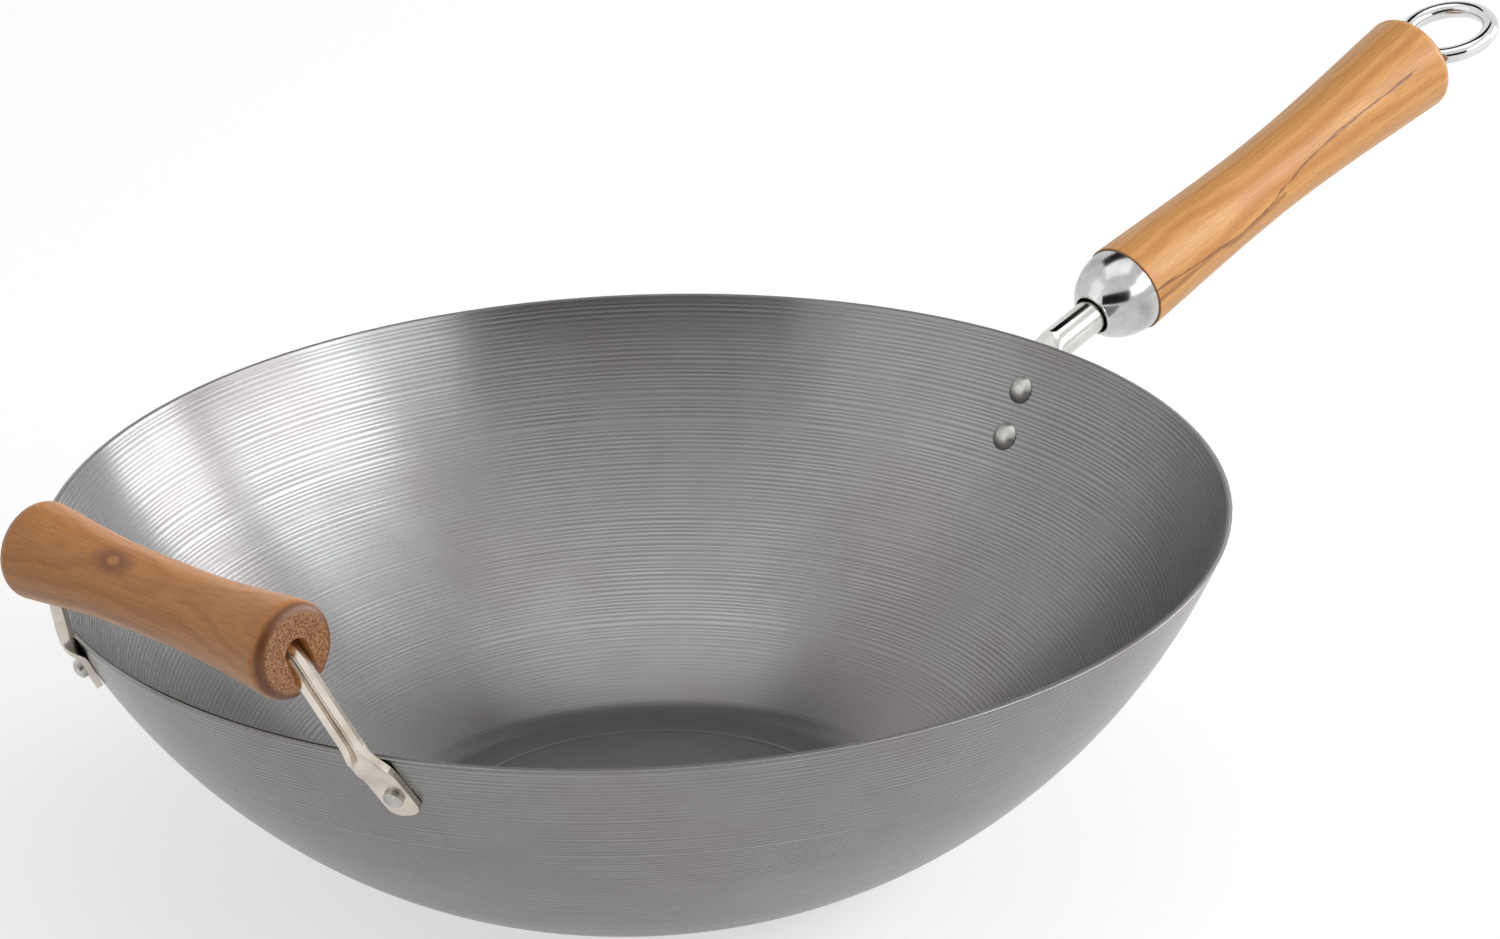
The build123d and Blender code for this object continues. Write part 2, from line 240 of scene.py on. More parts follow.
@dataclass(frozen=True)
class SpunSteel(Finish):
    """Bare carbon steel, spun over a former.

    The roller leaves rings round the axis, so highlights fan out across them. Their valleys are
    darkened in the colour as painted shade. Rolling and washing leave warm and cool patches of
    thin oxide.
    """

    cool: str = "#949695"
    warm: str = "#959091"
    # Colour of the darker oxide clouds, and of the painted shade laid in the rings' valleys.
    dark: str = "#5c5b5b"
    # Along the wall the real rings lie about 1.4 mm apart, so they show without being drawn
    # coarser. Where the wall leans 45 degrees, that is 2 mm of radius and height together.
    ring_mm: float = 2.0
    ring_depth_mm: float = 0.1
    ring_strength: float = 0.35
    # Painted shade: how far the rings' valleys are darkened in the colour, standing in for the shade of
    # their relief.
    painted_ring_shade: float = 0.5
    painted_shade_band: Band = (0.1, 0.9)
    wander_mm: float = 9.0
    wander_angle: float = 9.0
    press_mm: float = 24.0
    press_band: Band = (0.3, 0.7)
    press: Band = (0.1, 0.42)
    wall_starts_mm: Band = (85.0, 120.0)
    floor_press: float = 0.25
    patch_mm: float = 60.0
    patch_band: Band = (0.42, 0.62)
    cloud_mm: float = 15.0
    cloud_band: Band = (0.35, 0.75)
    cloud_shade: float = 0.12
    roughness: float = 0.3
    roughness_swing: float = 0.05
    gloss_band: Band = (0.3, 0.7)
    anisotropy: float = 0.75
    anisotropy_turn: float = 0.25

    def rings(self, tree: bpy.types.NodeTree, place: bpy.types.NodeSocket) -> bpy.types.NodeSocket:
        """Draws the roller's rings as a wave that runs outwards and up the wall.

        Its spacing wanders a little, and it is pressed harder in some places than in others
        and least on the floor.

        Args:
            tree: The material's node tree.
            place: The place on the bowl.

        Returns:
            A height that swings round one half.
        """
        axes = add_node(tree, "ShaderNodeSeparateXYZ", inputs={0: place}).outputs
        flat = add_node(tree, "ShaderNodeCombineXYZ", inputs={0: axes[0], 1: axes[1]}).outputs[0]
        radius = add_node(tree, "ShaderNodeVectorMath", {"operation": "LENGTH"}, {0: flat}).outputs["Value"]
        run = add_node(tree, "ShaderNodeMath", {"operation": "ADD"}, {0: radius, 1: axes[2]}).outputs[0]
        wander = add_node(
            tree,
            "ShaderNodeTexNoise",
            {"noise_dimensions": "1D"},
            {"W": run, "Scale": 1 / (self.wander_mm * MM), "Detail": Detail.SOFT.value},
        ).outputs[0]
        drift = add_node(
            tree, "ShaderNodeMath", {"operation": "MULTIPLY"}, {0: wander, 1: self.wander_angle}
        ).outputs[0]
        phase = add_node(
            tree,
            "ShaderNodeMath",
            {"operation": "MULTIPLY_ADD"},
            {0: run, 1: 2 * math.pi / (self.ring_mm * MM), 2: drift},
        ).outputs[0]
        wave = add_node(tree, "ShaderNodeMath", {"operation": "SINE"}, {0: phase}).outputs[0]
        pressed = add_node(
            tree,
            "ShaderNodeTexNoise",
            inputs={"Vector": place, "Scale": 1 / (self.press_mm * MM), "Detail": Detail.BROAD.value},
        ).outputs[0]
        force = add_node(
            tree,
            "ShaderNodeMapRange",
            inputs={
                "Value": pressed,
                "From Min": self.press_band[0],
                "From Max": self.press_band[1],
                "To Min": self.press[0],
                "To Max": self.press[1],
            },
        ).outputs[0]
        wall = add_node(
            tree,
            "ShaderNodeMapRange",
            {"interpolation_type": "SMOOTHSTEP"},
            {
                "Value": radius,
                "From Min": self.wall_starts_mm[0] * MM,
                "From Max": self.wall_starts_mm[1] * MM,
                "To Min": self.floor_press,
            },
        ).outputs[0]
        firm = add_node(tree, "ShaderNodeMath", {"operation": "MULTIPLY"}, {0: force, 1: wall}).outputs[0]
        return add_node(
            tree, "ShaderNodeMath", {"operation": "MULTIPLY_ADD"}, {0: wave, 1: firm, 2: 0.5}
        ).outputs[0]

    def oxide(self, tree: bpy.types.NodeTree, place: bpy.types.NodeSocket) -> bpy.types.NodeSocket:
        """Colours the bare steel: warm and cool patches, with darker clouds over them.

        Args:
            tree: The material's node tree.
            place: The place on the bowl.

        Returns:
            The steel's colour without its rings.
        """
        patches = add_node(
            tree,
            "ShaderNodeTexNoise",
            inputs={"Vector": place, "Scale": 1 / (self.patch_mm * MM), "Detail": Detail.EVEN.value},
        ).outputs[0]
        cloud = add_node(
            tree,
            "ShaderNodeTexNoise",
            inputs={"Vector": place, "Scale": 1 / (self.cloud_mm * MM), "Detail": Detail.FINE.value},
        ).outputs[0]
        tint = add_node(
            tree,
            "ShaderNodeMapRange",
            inputs={"Value": patches, "From Min": self.patch_band[0], "From Max": self.patch_band[1]},
        ).outputs[0]
        bare = add_node(
            tree,
            "ShaderNodeMix",
            {"data_type": "RGBA"},
            {SHARE: tint, COLOUR_A: linear(self.cool), COLOUR_B: linear(self.warm)},
        ).outputs[MIXED]
        shade = add_node(
            tree,
            "ShaderNodeMapRange",
            inputs={
                "Value": cloud,
                "From Min": self.cloud_band[0],
                "From Max": self.cloud_band[1],
                "To Max": self.cloud_shade,
            },
        ).outputs[0]
        return add_node(
            tree,
            "ShaderNodeMix",
            {"data_type": "RGBA"},
            {SHARE: shade, COLOUR_A: bare, COLOUR_B: linear(self.dark)},
        ).outputs[MIXED]

    def paint(self, tree: bpy.types.NodeTree, shader: bpy.types.Node) -> None:
        """Links rings, painted shade in their valleys, patches and the spun direction to the shader.

        Args:
            tree: The material's node tree.
            shader: The Principled shader of that tree.
        """
        place = add_node(tree, "ShaderNodeTexCoord").outputs["Object"]
        rings = self.rings(tree, place)
        # Painted shade: the rings' valleys are darkened towards the dark colour.
        painted_valley_shade = add_node(
            tree,
            "ShaderNodeMapRange",
            inputs={
                "Value": rings,
                "From Min": self.painted_shade_band[0],
                "From Max": self.painted_shade_band[1],
                "To Min": self.painted_ring_shade,
                "To Max": 0.0,
            },
        ).outputs[0]
        colour = add_node(
            tree,
            "ShaderNodeMix",
            {"data_type": "RGBA"},
            {SHARE: painted_valley_shade, COLOUR_A: self.oxide(tree, place), COLOUR_B: linear(self.dark)},
        ).outputs[MIXED]
        rough = add_node(
            tree,
            "ShaderNodeMapRange",
            inputs={
                "Value": rings,
                "From Min": self.gloss_band[0],
                "From Max": self.gloss_band[1],
                "To Min": self.roughness + self.roughness_swing,
                "To Max": self.roughness - self.roughness_swing,
            },
        ).outputs[0]
        bump = add_node(
            tree,
            "ShaderNodeBump",
            inputs={"Strength": self.ring_strength, "Distance": self.ring_depth_mm * MM, "Height": rings},
        ).outputs[0]
        tangent = add_node(tree, "ShaderNodeTangent", {"direction_type": "RADIAL", "axis": "Z"}).outputs[0]
        look = {
            "Metallic": 1.0,
            "Anisotropic": self.anisotropy,
            "Anisotropic Rotation": self.anisotropy_turn,
            "Tangent": tangent,
            "Base Color": colour,
            "Roughness": rough,
            "Normal": bump,
        }
        fill(tree, shader, look)


@dataclass(frozen=True)
class WorkedMetal(Finish):
    """Metal whose surface is even but never perfect: plated, tumbled, rolled or turned.

    A cloudy change of gloss and a shallow ripple break up its reflections.
    """

    bright: str = "#d9d7d3"
    dull: str = "#bdbab6"
    dull_band: Band = (0.35, 0.7)
    roughness: float = 0.12
    cloudiness: float = 0.08
    gloss_band: Band = (0.3, 0.7)
    cloud_mm: float = 12.0
    ripple_mm: float = 3.0
    ripple_depth_mm: float = 0.01
    ripple_strength: float = 0.4

    def paint(self, tree: bpy.types.NodeTree, shader: bpy.types.Node) -> None:
        """Links clouds and ripples to the shader.

        Args:
            tree: The material's node tree.
            shader: The Principled shader of that tree.
        """
        place = add_node(tree, "ShaderNodeTexCoord").outputs["Object"]
        cloud = add_node(
            tree,
            "ShaderNodeTexNoise",
            inputs={"Vector": place, "Scale": 1 / (self.cloud_mm * MM), "Detail": Detail.BUSY.value},
        ).outputs[0]
        ripple = add_node(
            tree,
            "ShaderNodeTexNoise",
            inputs={"Vector": place, "Scale": 1 / (self.ripple_mm * MM), "Detail": Detail.SOFT.value},
        ).outputs[0]
        dulled = add_node(
            tree,
            "ShaderNodeMapRange",
            inputs={"Value": cloud, "From Min": self.dull_band[0], "From Max": self.dull_band[1]},
        ).outputs[0]
        colour = add_node(
            tree,
            "ShaderNodeMix",
            {"data_type": "RGBA"},
            {SHARE: dulled, COLOUR_A: linear(self.bright), COLOUR_B: linear(self.dull)},
        ).outputs[MIXED]
        rough = add_node(
            tree,
            "ShaderNodeMapRange",
            inputs={
                "Value": cloud,
                "From Min": self.gloss_band[0],
                "From Max": self.gloss_band[1],
                "To Min": self.roughness,
                "To Max": self.roughness + self.cloudiness,
            },
        ).outputs[0]
        bump = add_node(
            tree,
            "ShaderNodeBump",
            inputs={
                "Strength": self.ripple_strength,
                "Distance": self.ripple_depth_mm * MM,
                "Height": ripple,
            },
        ).outputs[0]
        fill(tree, shader, {"Metallic": 1.0, "Base Color": colour, "Roughness": rough, "Normal": bump})


@dataclass(frozen=True)
class Knot:
    """A small sound knot: its place in the grain's own axes, its size and how it fades."""

    place_mm: Place
    radius_mm: float
    stretch: float = 0.55
    waver_mm: float = 3.0
    waver_share: float = 0.8
    reach_radii: float = 4.0
    heart_share: float = 0.24
    rim_share: float = 0.36
    fade_band: Band = (0.38, 0.8)
    shade: float = 0.75


@dataclass(frozen=True)
class Seam:
    """A dark mineral seam along the grain: its height at some stations, width and strength.

    Stations are millimetres along the grip, heights millimetres above its axis. The seam lies
    on the grip's side towards -Y where side is negative, and on the other where it is positive.
    """

    stations: tuple[float, ...]
    heights: tuple[float, ...]
    width_mm: float
    strength: float
    side: float = -1.0
    core_share: float = 0.3
    strand_mm: float = 1.0
    strand_stretch: float = 0.08
    ragged_mm: float = 2.4
    flank_mm: float = 2.0
    end_share: float = 0.97


@dataclass(frozen=True)
class VarnishedWood(Finish):
    """Close-grained hardwood, turned, stained and varnished.

    Growth rings run along the grip as long flames, with fine fibres over them and darker
    mineral streaks between. The cut ends drink more stain.
    """

    pale: str = "#e9ab62"
    mid: str = "#d39049"
    deep: str = "#a56a35"
    streak: str = "#6e3412"
    end: str = "#7a4a2c"
    cut: str = "#a8764c"
    turn_deg: Place = (0.0, 0.0, 0.0)
    move_mm: Place = (0.0, 0.0, 0.0)
    grain_axis: Place = (1.0, 0.0, 0.0)
    pith_mm: Point = (30.0, -22.0)
    bend_mm: float = 45.0
    bend_reach_mm: float = 6.0
    ring_slant: float = 0.03
    ring_mm: float = 3.4
    flame_band: Band = (0.35, 0.68)
    # Real fibres are a few hundredths of a millimetre thick. They are drawn this wide to show.
    fibre_mm: float = 0.55
    fibre_length_mm: float = 26.0
    fibre_band: Band = (0.45, 0.8)
    fibre_shade: float = 0.5
    streaks: float = 0.25
    streak_spacing_mm: float = 7.0
    streak_band: Band = (0.6, 0.68)
    burnish: float = 0.5
    burnish_band: Band = (0.25, 0.6)
    pores: float = 0.3
    # Real pores are a tenth or two of a millimetre wide. They are drawn this wide to show.
    pore_mm: float = 0.45
    pore_band: Band = (0.5, 0.75)
    open_pore_band: Band = (0.4, 0.62)
    cut_band: Band = (0.88, 0.98)
    roughness: float = 0.42
    roughness_swing: Band = (-0.05, 0.12)
    gloss_band: Band = (0.3, 0.8)
    fibre_depth_mm: float = 0.08
    fibre_strength: float = 0.3
    ior: float = 1.5
    varnish: float = 0.15
    varnish_roughness: float = 0.25
    knot: Optional[Knot] = None
    seams: tuple[Seam, ...] = ()

    def paint(self, tree: bpy.types.NodeTree, shader: bpy.types.Node) -> None:
        """Links grain, seams, knot, cut ends and varnish to the shader.

        Args:
            tree: The material's node tree.
            shader: The Principled shader of that tree.
        """
        place = add_node(tree, "ShaderNodeTexCoord").outputs["Object"]
        turn = tuple(math.radians(a) for a in self.turn_deg)
        move = tuple(m * MM for m in self.move_mm)
        grain = add_node(
            tree, "ShaderNodeMapping", inputs={0: place, "Rotation": turn, "Location": move}
        ).outputs[0]
        long_fibre = (self.fibre_mm / self.fibre_length_mm, 1.0, 1.0)
        drawn = add_node(tree, "ShaderNodeMapping", inputs={0: grain, "Scale": long_fibre}).outputs[0]
        fibre = add_node(
            tree,
            "ShaderNodeTexNoise",
            inputs={"Vector": drawn, "Scale": 1 / (self.fibre_mm * MM), "Detail": Detail.BUSY.value},
        ).outputs[0]
        sides = self.paint_grain(tree, grain, fibre)
        for seam in self.seams:
            sides = self.paint_seam(tree, grain, seam, sides)
        if self.knot:
            sides = self.paint_knot(tree, grain, self.knot, sides)
        rough = add_node(
            tree,
            "ShaderNodeMapRange",
            inputs={
                "Value": fibre,
                "From Min": self.gloss_band[0],
                "From Max": self.gloss_band[1],
                "To Min": self.roughness + self.roughness_swing[0],
                "To Max": self.roughness + self.roughness_swing[1],
            },
        ).outputs[0]
        bump = add_node(
            tree,
            "ShaderNodeBump",
            inputs={"Strength": self.fibre_strength, "Distance": self.fibre_depth_mm * MM, "Height": fibre},
        ).outputs[0]
        look = {
            "IOR": self.ior,
            "Coat Weight": self.varnish,
            "Coat Roughness": self.varnish_roughness,
            "Base Color": self.paint_ends(tree, grain, sides),
            "Roughness": rough,
            "Normal": bump,
        }
        fill(tree, shader, look)

    def paint_grain(
        self, tree: bpy.types.NodeTree, grain: bpy.types.NodeSocket, fibre: bpy.types.NodeSocket
    ) -> bpy.types.NodeSocket:
        """Draws the growth rings, the fibres over them and the mineral streaks.

        Args:
            tree: The material's node tree.
            grain: The place in the grain's own axes.
            fibre: How dark the fibres are there.

        Returns:
            The colour of the grip's sides.
        """
        bend = add_node(
            tree,
            "ShaderNodeTexNoise",
            inputs={"Vector": grain, "Scale": 1 / (self.bend_mm * MM), "Detail": Detail.SOFT.value},
        )
        reach = self.bend_reach_mm * MM
        bent = add_node(
            tree,
            "ShaderNodeVectorMath",
            {"operation": "MULTIPLY_ADD"},
            {0: bend.outputs["Color"], 1: (0.0, reach, reach), 2: grain},
        ).outputs[0]
        pith = (0.0, self.pith_mm[0] * MM, self.pith_mm[1] * MM)
        across = add_node(
            tree,
            "ShaderNodeVectorMath",
            {"operation": "MULTIPLY_ADD"},
            {0: bent, 1: (self.ring_slant, 1.0, 1.0), 2: pith},
        ).outputs[0]
        distance = add_node(
            tree, "ShaderNodeVectorMath", {"operation": "LENGTH"}, {0: across}
        ).outputs["Value"]
        growth = add_node(
            tree,
            "ShaderNodeTexNoise",
            {"noise_dimensions": "1D"},
            {"W": distance, "Scale": 1 / (self.ring_mm * MM), "Detail": Detail.SOFT.value},
        ).outputs[0]
        flame = add_node(
            tree,
            "ShaderNodeMapRange",
            inputs={"Value": growth, "From Min": self.flame_band[0], "From Max": self.flame_band[1]},
        ).outputs[0]
        ground = add_node(
            tree,
            "ShaderNodeMix",
            {"data_type": "RGBA"},
            {SHARE: flame, COLOUR_A: linear(self.pale), COLOUR_B: linear(self.mid)},
        ).outputs[MIXED]
        fine = add_node(
            tree,
            "ShaderNodeMapRange",
            inputs={
                "Value": fibre,
                "From Min": self.fibre_band[0],
                "From Max": self.fibre_band[1],
                "To Max": self.fibre_shade,
            },
        ).outputs[0]
        fibred = add_node(
            tree,
            "ShaderNodeMix",
            {"data_type": "RGBA"},
            {SHARE: fine, COLOUR_A: ground, COLOUR_B: linear(self.deep)},
        ).outputs[MIXED]
        veins = add_node(
            tree,
            "ShaderNodeTexNoise",
            {"noise_dimensions": "1D"},
            {"W": distance, "Scale": 1 / (self.streak_spacing_mm * MM), "Detail": Detail.BROAD.value},
        ).outputs[0]
        vein = add_node(
            tree,
            "ShaderNodeMapRange",
            inputs={
                "Value": veins,
                "From Min": self.streak_band[0],
                "From Max": self.streak_band[1],
                "To Max": self.streaks,
            },
        ).outputs[0]
        return add_node(
            tree,
            "ShaderNodeMix",
            {"data_type": "RGBA"},
            {SHARE: vein, COLOUR_A: fibred, COLOUR_B: linear(self.streak)},
        ).outputs[MIXED]

    def paint_seam(
        self,
        tree: bpy.types.NodeTree,
        grain: bpy.types.NodeSocket,
        seam: Seam,
        ground: bpy.types.NodeSocket,
    ) -> bpy.types.NodeSocket:
        """Draws one dark seam along the grain, ragged where the fibres part.

        Args:
            tree: The material's node tree.
            grain: The place in the grain's own axes.
            seam: The seam to draw.
            ground: The wood's colour so far.

        Returns:
            The colour with the seam in it.
        """
        axes = add_node(tree, "ShaderNodeSeparateXYZ", inputs={0: grain}).outputs
        reach, low, high = seam.stations[-1], min(seam.heights), max(seam.heights)
        station = add_node(
            tree, "ShaderNodeMath", {"operation": "DIVIDE"}, {0: axes[0], 1: reach * MM}
        ).outputs[0]
        path = add_node(tree, "ShaderNodeFloatCurve", inputs={1: station})
        course = zip(seam.stations, seam.heights)
        shares = [(along / reach, (up - low) / (high - low)) for along, up in course]
        points = path.mapping.curves[0].points
        points[0].location, points[-1].location = shares[0], shares[-1]
        for share in shares[1:-1]:
            points.new(*share)
        path.mapping.update()
        level = add_node(
            tree,
            "ShaderNodeMapRange",
            inputs={"Value": path.outputs[0], "To Min": low * MM, "To Max": high * MM},
        ).outputs[0]
        strand = (seam.strand_stretch, 1.0, 1.0)
        strands = add_node(tree, "ShaderNodeMapping", inputs={0: grain, "Scale": strand}).outputs[0]
        ragged = add_node(
            tree,
            "ShaderNodeTexNoise",
            inputs={"Vector": strands, "Scale": 1 / (seam.strand_mm * MM), "Detail": Detail.EVEN.value},
        ).outputs[0]
        apart = add_node(
            tree, "ShaderNodeMath", {"operation": "SUBTRACT"}, {0: axes[2], 1: level}
        ).outputs[0]
        waver = add_node(
            tree,
            "ShaderNodeMath",
            {"operation": "MULTIPLY_ADD"},
            {0: ragged, 1: seam.ragged_mm * MM, 2: apart},
        ).outputs[0]
        centred = add_node(
            tree, "ShaderNodeMath", {"operation": "SUBTRACT"}, {0: waver, 1: seam.ragged_mm / 2 * MM}
        ).outputs[0]
        away = add_node(tree, "ShaderNodeMath", {"operation": "ABSOLUTE"}, {0: centred}).outputs[0]
        line = add_node(
            tree,
            "ShaderNodeMapRange",
            inputs={
                "Value": away,
                "From Min": seam.core_share * seam.width_mm * MM,
                "From Max": seam.width_mm * MM,
                "To Min": seam.strength,
                "To Max": 0.0,
            },
        ).outputs[0]
        near, far = (1.0, 0.0) if seam.side < 0 else (0.0, 1.0)
        flank = add_node(
            tree,
            "ShaderNodeMapRange",
            inputs={
                "Value": axes[1],
                "From Min": -seam.flank_mm * MM,
                "From Max": seam.flank_mm * MM,
                "To Min": near,
                "To Max": far,
            },
        ).outputs[0]
        inside = add_node(
            tree,
            "ShaderNodeMapRange",
            inputs={
                "Value": station,
                "From Min": seam.end_share,
                "From Max": 1.0,
                "To Min": 1.0,
                "To Max": 0.0,
            },
        ).outputs[0]
        shown = add_node(tree, "ShaderNodeMath", {"operation": "MULTIPLY"}, {0: line, 1: flank}).outputs[0]
        shown = add_node(tree, "ShaderNodeMath", {"operation": "MULTIPLY"}, {0: shown, 1: inside}).outputs[0]
        return add_node(
            tree,
            "ShaderNodeMix",
            {"data_type": "RGBA"},
            {SHARE: shown, COLOUR_A: ground, COLOUR_B: linear(self.streak)},
        ).outputs[MIXED]

    def paint_knot(
        self,
        tree: bpy.types.NodeTree,
        grain: bpy.types.NodeSocket,
        knot: Knot,
        ground: bpy.types.NodeSocket,
    ) -> bpy.types.NodeSocket:
        """Lays a knot over the wood: a pale heart, a dark rim and a shadow along the grain.

        Args:
            tree: The material's node tree.
            grain: The place in the grain's own axes.
            knot: The knot to draw.
            ground: The wood's colour so far.

        Returns:
            The colour with the knot in it.
        """
        x, y, z = (c * MM for c in knot.place_mm)
        near = add_node(
            tree,
            "ShaderNodeVectorMath",
            {"operation": "MULTIPLY_ADD"},
            {0: grain, 1: (knot.stretch, 1.0, 1.0), 2: (-x * knot.stretch, -y, -z)},
        ).outputs[0]
        reach = add_node(tree, "ShaderNodeVectorMath", {"operation": "LENGTH"}, {0: near}).outputs["Value"]
        waver = add_node(
            tree, "ShaderNodeTexNoise", inputs={"Vector": grain, "Scale": 1 / (knot.waver_mm * MM)}
        ).outputs[0]
        ragged = add_node(
            tree,
            "ShaderNodeMath",
            {"operation": "MULTIPLY_ADD"},
            {0: waver, 1: knot.waver_share * knot.radius_mm * MM, 2: reach},
        ).outputs[0]
        share = add_node(
            tree,
            "ShaderNodeMath",
            {"operation": "DIVIDE"},
            {0: ragged, 1: knot.radius_mm * MM * knot.reach_radii},
        ).outputs[0]
        rim = add_node(tree, "ShaderNodeValToRGB", inputs={0: share})
        heart, edge = rim.color_ramp.elements
        heart.position, heart.color = knot.heart_share, linear(self.mid)
        edge.position, edge.color = knot.rim_share, linear(self.streak)
        fade = add_node(
            tree,
            "ShaderNodeMapRange",
            inputs={
                "Value": share,
                "From Min": knot.fade_band[0],
                "From Max": knot.fade_band[1],
                "To Min": knot.shade,
                "To Max": 0.0,
            },
        ).outputs[0]
        return add_node(
            tree,
            "ShaderNodeMix",
            {"data_type": "RGBA"},
            {SHARE: fade, COLOUR_A: ground, COLOUR_B: rim.outputs[0]},
        ).outputs[MIXED]

    def paint_ends(
        self, tree: bpy.types.NodeTree, grain: bpy.types.NodeSocket, sides: bpy.types.NodeSocket
    ) -> bpy.types.NodeSocket:
        """Darkens the wood where it turns to its cut ends, and opens the pores there.

        Args:
            tree: The material's node tree.
            grain: The place in the grain's own axes.
            sides: The colour of the grip's sides.

        Returns:
            The wood's whole colour.
        """
        normal = add_node(tree, "ShaderNodeNewGeometry").outputs["Normal"]
        lean = add_node(
            tree, "ShaderNodeVectorMath", {"operation": "DOT_PRODUCT"}, {0: normal, 1: self.grain_axis}
        ).outputs["Value"]
        facing = add_node(tree, "ShaderNodeMath", {"operation": "ABSOLUTE"}, {0: lean}).outputs[0]
        burnished = add_node(
            tree,
            "ShaderNodeMapRange",
            inputs={
                "Value": facing,
                "From Min": self.burnish_band[0],
                "From Max": self.burnish_band[1],
                "To Max": self.burnish,
            },
        ).outputs[0]
        speck = add_node(
            tree,
            "ShaderNodeTexNoise",
            inputs={"Vector": grain, "Scale": 1 / (self.pore_mm * MM), "Detail": Detail.EVEN.value},
        ).outputs[0]
        pores = add_node(
            tree,
            "ShaderNodeMapRange",
            inputs={
                "Value": speck,
                "From Min": self.pore_band[0],
                "From Max": self.pore_band[1],
                "To Max": self.pores,
            },
        ).outputs[0]
        pored = add_node(
            tree,
            "ShaderNodeMix",
            {"data_type": "RGBA"},
            {SHARE: pores, COLOUR_A: sides, COLOUR_B: linear(self.deep)},
        ).outputs[MIXED]
        rim = add_node(
            tree,
            "ShaderNodeMix",
            {"data_type": "RGBA"},
            {SHARE: burnished, COLOUR_A: pored, COLOUR_B: linear(self.end)},
        ).outputs[MIXED]
        open_pores = add_node(
            tree,
            "ShaderNodeMapRange",
            inputs={"Value": speck, "From Min": self.open_pore_band[0], "From Max": self.open_pore_band[1]},
        ).outputs[0]
        cut = add_node(
            tree,
            "ShaderNodeMix",
            {"data_type": "RGBA"},
            {SHARE: open_pores, COLOUR_A: linear(self.cut), COLOUR_B: linear(self.end)},
        ).outputs[MIXED]
        flat = add_node(
            tree,
            "ShaderNodeMapRange",
            inputs={"Value": facing, "From Min": self.cut_band[0], "From Max": self.cut_band[1]},
        ).outputs[0]
        return add_node(
            tree, "ShaderNodeMix", {"data_type": "RGBA"}, {SHARE: flat, COLOUR_A: rim, COLOUR_B: cut}
        ).outputs[MIXED]


@dataclass(frozen=True)
class DyedFelt(Finish):
    """Dyed felt on a card: dark and quite matt, so it reflects as one even shade."""

    colour: str = "#0c0c0c"

    def paint(self, tree: bpy.types.NodeTree, shader: bpy.types.Node) -> None:
        """Sets the shader to the felt's even shade."""
        look = {"Base Color": linear(self.colour), "Roughness": 1.0, "Specular IOR Level": 0.0}
        fill(tree, shader, look)


@dataclass(frozen=True)
class BackdropPaper(Finish):
    """Matt backdrop paper, which takes the object's shadow.

    The camera, mirrors and lenses see it lifted to white. The lift lights nothing matt.
    """

    colour: str = "#c4c4c4"
    lift: float = 0.6

    def paint(self, tree: bpy.types.NodeTree, shader: bpy.types.Node) -> None:
        """Links the lift to the shader.

        Args:
            tree: The material's node tree.
            shader: The Principled shader of that tree.
        """
        lifted = add_node(
            tree, "ShaderNodeMath", {"operation": "MULTIPLY"}, {0: seen_ray(tree), 1: self.lift}
        ).outputs[0]
        look = {
            "Base Color": linear(self.colour),
            "Roughness": 1.0,
            "Specular IOR Level": 0.0,
            "Emission Color": linear(WHITE),
            "Emission Strength": lifted,
        }
        fill(tree, shader, look)


# Carbon steel, spun and left bare: fine rings break each highlight into a fan, with painted
# shade in their valleys, and the grey turns a little warmer and cooler in patches.
SPUN_STEEL = SpunSteel("carbon_steel_spun")

# Steel tube, nickel plated: close to a mirror, a little warm, with soft clouds in it.
PLATED_TUBE = WorkedMetal("nickel_plated_tube", bright="#d6d6d2", dull="#c2c2bd", roughness=0.1)

# Pressed sheet, chrome plated: a mirror with mottled, bluer clouds where it has dulled. The
# clouds are also painted reflection: their dull grey stands in for dark things mirrored in it.
PLATED_BELL = WorkedMetal(
    "chrome_plated_bell",
    bright="#d2d2d1",
    # Dull grey of the clouds: partly dulled plate, partly painted reflection of dark surroundings.
    dull="#9a9b9d",
    roughness=0.1,
    cloudiness=0.12,
    cloud_mm=16.0,
)

# Steel wire, chrome plated: the sharpest mirror here, which shows as thin bright lines.
PLATED_WIRE = WorkedMetal(
    "chrome_plated_wire",
    bright="#dadbdc",
    dull="#c9cacb",
    roughness=0.08,
    cloudiness=0.05,
)

# Steel rivets, zinc plated and set: grey domes with blurred highlights and small dents.
SET_RIVET = WorkedMetal(
    "zinc_plated_rivet",
    bright="#c6c4c0",
    dull="#a09e9a",
    roughness=0.3,
    cloudiness=0.15,
    cloud_mm=3.0,
    ripple_mm=1.2,
    ripple_depth_mm=0.03,
)

# Rolled steel strip, nickel plated: a warm sheen that softens what it reflects.
ROLLED_STRIP = WorkedMetal(
    "nickel_plated_strip",
    bright="#ded5ca",
    dull="#c6bcb0",
    roughness=0.18,
    cloudiness=0.1,
    cloud_mm=9.0,
)

# Turned brass: yellow, with a blurred highlight. It is hidden inside the grip.
TURNED_BRASS = WorkedMetal("brass_turned", bright="#c9a45a", dull="#a88443", roughness=0.3)

